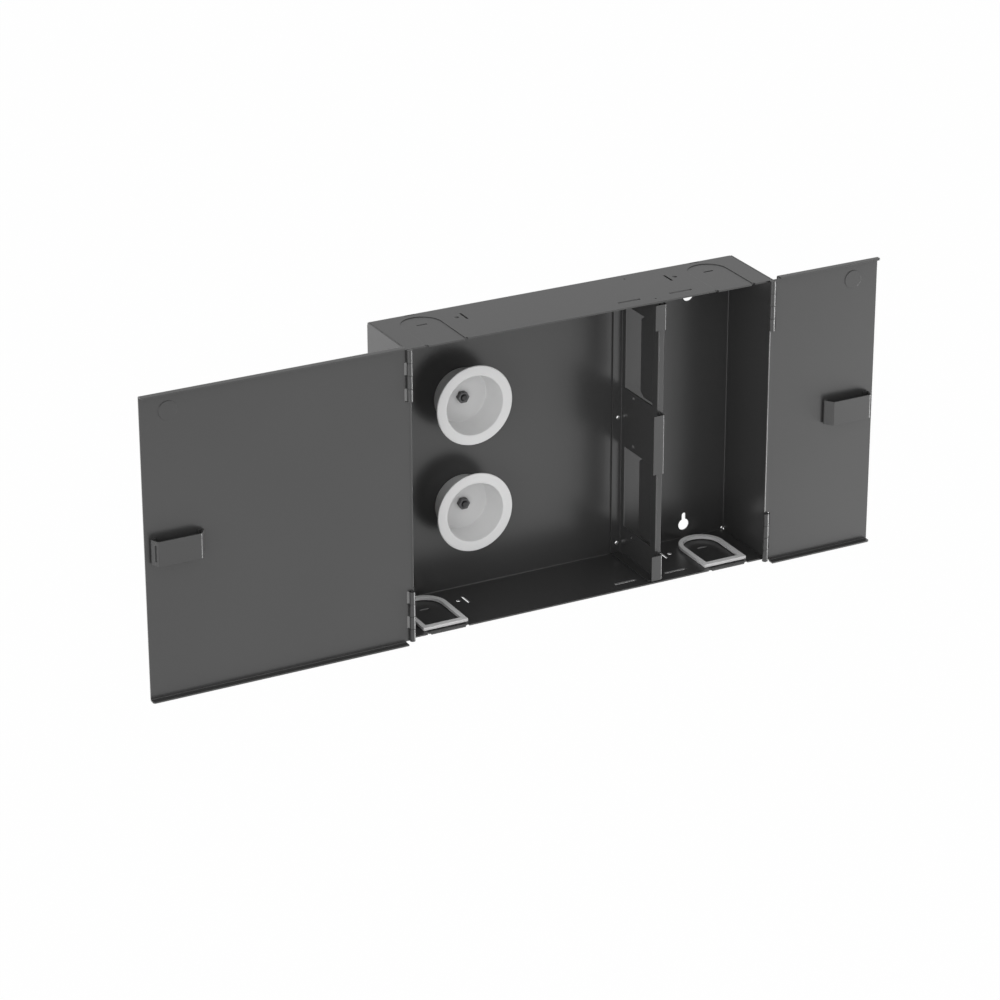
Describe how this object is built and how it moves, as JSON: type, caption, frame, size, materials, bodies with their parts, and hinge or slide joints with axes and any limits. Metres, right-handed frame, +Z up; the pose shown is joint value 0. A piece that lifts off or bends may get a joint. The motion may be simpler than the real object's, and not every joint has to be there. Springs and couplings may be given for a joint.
{
  "type": "wall-mount fibre enclosure",
  "caption": "Shallow steel wall box for fibre cable with two hinged doors, a slotted divider, slack spools and trimmed cable ports.",
  "frame": {"origin": "centre of the back wall's outer face, which lies against the building wall", "axes": "+Y into the wall, +X to the right as seen from the front, +Z up"},
  "size_m": [0.8049, 0.0974, 0.3123],
  "materials": {
    "powder_coat": "satin dark grey powder coat",
    "spool_plastic": "satin pale grey moulded plastic",
    "trim_plastic": "satin grey moulded plastic",
    "zinc_steel": "dull zinc plating",
    "pin_steel": "painted over steel pin"
  },
  "bodies": {
    "root": {"enclosure_body": "powder_coat", "divider_panel": "powder_coat", "left_upper_hinge_pin": "pin_steel", "left_lower_hinge_pin": "pin_steel", "right_upper_hinge_pin": "pin_steel", "right_lower_hinge_pin": "pin_steel", "upper_spool": "spool_plastic", "lower_spool": "spool_plastic", "upper_spool_stud": "zinc_steel", "lower_spool_stud": "zinc_steel", "upper_spool_nut": "zinc_steel", "lower_spool_nut": "zinc_steel", "left_port_trim": "trim_plastic", "right_port_trim": "trim_plastic"},
    "left_door": {"left_door": "powder_coat", "left_catch_bracket": "powder_coat"},
    "right_door": {"right_door": "powder_coat", "right_catch_bracket": "powder_coat"},
    "left_latch": {"left_latch_bolt": "powder_coat", "left_thumb_knob": "powder_coat"},
    "right_latch": {"right_latch_bolt": "powder_coat", "right_thumb_knob": "powder_coat"}
  },
  "joints": [
    {"name": "left_door_hinge", "type": "hinge", "parent": "root", "child": "left_door", "pos_m": [-0.202, -0.0874, 0], "axis": [0, 0, 1], "range_deg": [0, 180]},
    {"name": "right_door_hinge", "type": "hinge", "parent": "root", "child": "right_door", "pos_m": [0.202, -0.0874, 0], "axis": [0, 0, -1], "range_deg": [0, 180]},
    {"name": "left_latch_slide", "type": "slide", "parent": "left_door", "child": "left_latch", "axis": [-1, 0, 0], "range_m": [0, 0.006]},
    {"name": "right_latch_slide", "type": "slide", "parent": "right_door", "child": "right_latch", "axis": [1, 0, 0], "range_m": [0, 0.006]}
  ]
}
